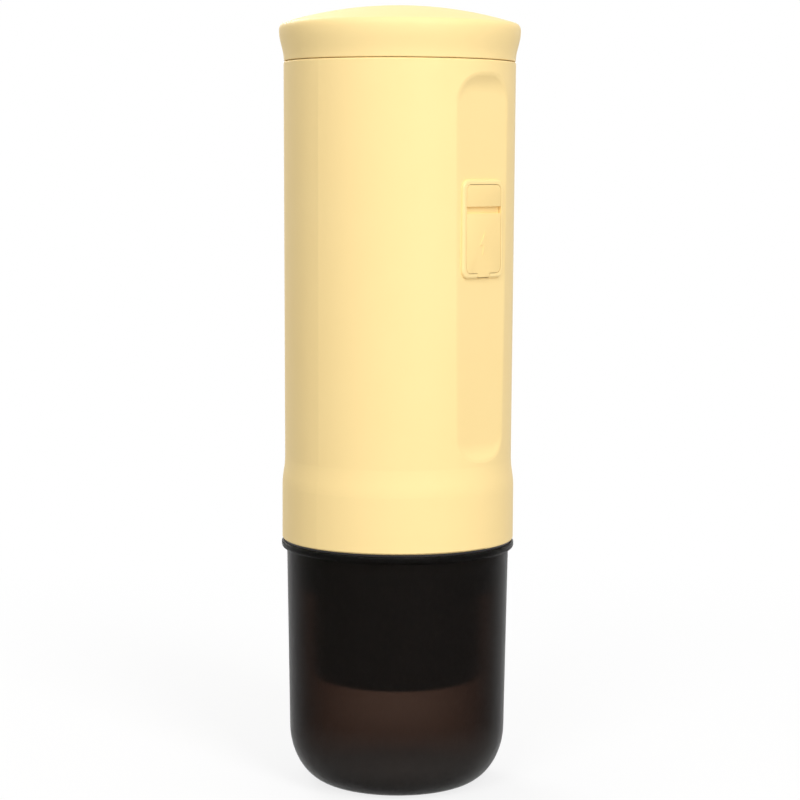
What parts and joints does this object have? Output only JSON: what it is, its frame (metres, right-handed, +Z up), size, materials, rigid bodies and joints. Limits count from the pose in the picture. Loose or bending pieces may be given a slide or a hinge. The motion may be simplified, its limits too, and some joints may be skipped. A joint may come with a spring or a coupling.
{
  "type": "portable espresso maker",
  "caption": "Tall round battery espresso maker: pale yellow sleeve with domed screw lid over a water tank, flat back panel with a folding port cover, and a smoky drinking cup below.",
  "frame": {"origin": "middle of the cup's flat foot, on the surface that the maker stands on", "axes": "+Z up along the maker's axis, +Y out of the back panel with the charging port, -Y out of the power button"},
  "size_m": [0.072, 0.072, 0.2345],
  "materials": {
    "pale_yellow_plastic": "satin",
    "pale_yellow_silicone": "matte",
    "smoky_plastic": "gloss",
    "black_plastic": "satin",
    "grey_plastic": "matte",
    "black_rubber": "matte",
    "clear_silicone": "satin",
    "stainless_steel": "satin",
    "zinc_plated_steel": "satin",
    "cell_wrap": "satin sleeve",
    "motor_can": "satin",
    "aluminium": "satin",
    "circuit_board": "satin",
    "component_plastic": "matte",
    "port_steel": "satin",
    "light_diffuser": "frosted"
  },
  "bodies": {
    "cup": {"cup": "smoky_plastic"},
    "machine": {"cup_seal": "black_rubber", "base_ring": "black_plastic", "base_screws": "zinc_plated_steel", "group_block": "black_plastic", "group_gasket": "black_rubber", "shower_screen": "stainless_steel", "shower_screw": "stainless_steel", "lower_tray": "grey_plastic", "upper_tray": "grey_plastic", "tray_screws": "zinc_plated_steel", "tank_screws": "zinc_plated_steel", "battery_cell_left": "cell_wrap", "battery_cell_right": "cell_wrap", "battery_cell_back": "cell_wrap", "cell_links": "zinc_plated_steel", "pump_body": "grey_plastic", "pump_bracket": "black_plastic", "motor": "motor_can", "suction_hose": "clear_silicone", "pressure_hose": "clear_silicone", "water_tank": "black_plastic", "tank_strainer": "stainless_steel", "heater_plate": "aluminium", "heater_element": "stainless_steel", "thermal_cutout": "component_plastic", "temperature_probe": "component_plastic", "control_board": "circuit_board", "board_components": "component_plastic", "usb_shell": "port_steel", "usb_tongue": "component_plastic", "body_shell": "pale_yellow_plastic", "port_cover_anchor": "pale_yellow_silicone", "light_ring": "light_diffuser", "button_board": "circuit_board", "button_switch": "component_plastic", "button_screws": "zinc_plated_steel"},
    "lid_carrier": {"lid_seal": "black_rubber"},
    "lid": {"lid_shell": "pale_yellow_plastic", "lid_liner": "black_plastic", "lid_vent_valve": "black_rubber"},
    "basket": {"filter_basket": "stainless_steel", "filter_disc": "stainless_steel"},
    "brew_head": {"brew_head": "black_plastic"},
    "button": {"power_button": "pale_yellow_plastic"},
    "port_flap": {"port_cover": "pale_yellow_silicone"},
    "drive": {"motor_shaft": "stainless_steel", "shaft_coupling": "black_plastic"}
  },
  "joints": [
    {"name": "machine_lift", "type": "slide", "parent": "cup", "child": "machine", "axis": [0, 0, 1], "range_m": [0, 0.08]},
    {"name": "lid_rise", "type": "slide", "parent": "machine", "child": "lid_carrier", "axis": [0, 0, 1], "range_m": [0, 0.00801]},
    {"name": "lid_turn", "type": "hinge", "parent": "lid_carrier", "child": "lid", "pos_m": [0, 0, 0.2181], "axis": [0, 0, 1], "range_deg": [0, 360]},
    {"name": "brew_head_drop", "type": "slide", "parent": "machine", "child": "basket", "axis": [0, 0, -1], "range_m": [0, 0.01201]},
    {"name": "brew_head_turn", "type": "hinge", "parent": "basket", "child": "brew_head", "pos_m": [0, 0, 0.072], "axis": [0, 0, -1], "range_deg": [0, 540]},
    {"name": "button_press", "type": "slide", "parent": "machine", "child": "button", "axis": [0, 1, 0], "range_m": [0, 0.0006], "stiffness_N_per_m": 600},
    {"name": "port_cover_fold", "type": "hinge", "parent": "machine", "child": "port_flap", "pos_m": [0, 0.03257, 0.17455], "axis": [1, 0, 0], "range_deg": [0, 90]},
    {"name": "motor_spin", "type": "hinge", "parent": "machine", "child": "drive", "pos_m": [0, -0.00984, 0.1193], "axis": [0, 0, 1], "continuous": true}
  ],
  "couplings": [
    {"joint": "lid_rise", "follows": "lid_turn", "m_per_rad": 0.0012732},
    {"joint": "brew_head_drop", "follows": "brew_head_turn", "m_per_rad": 0.0012732}
  ]
}
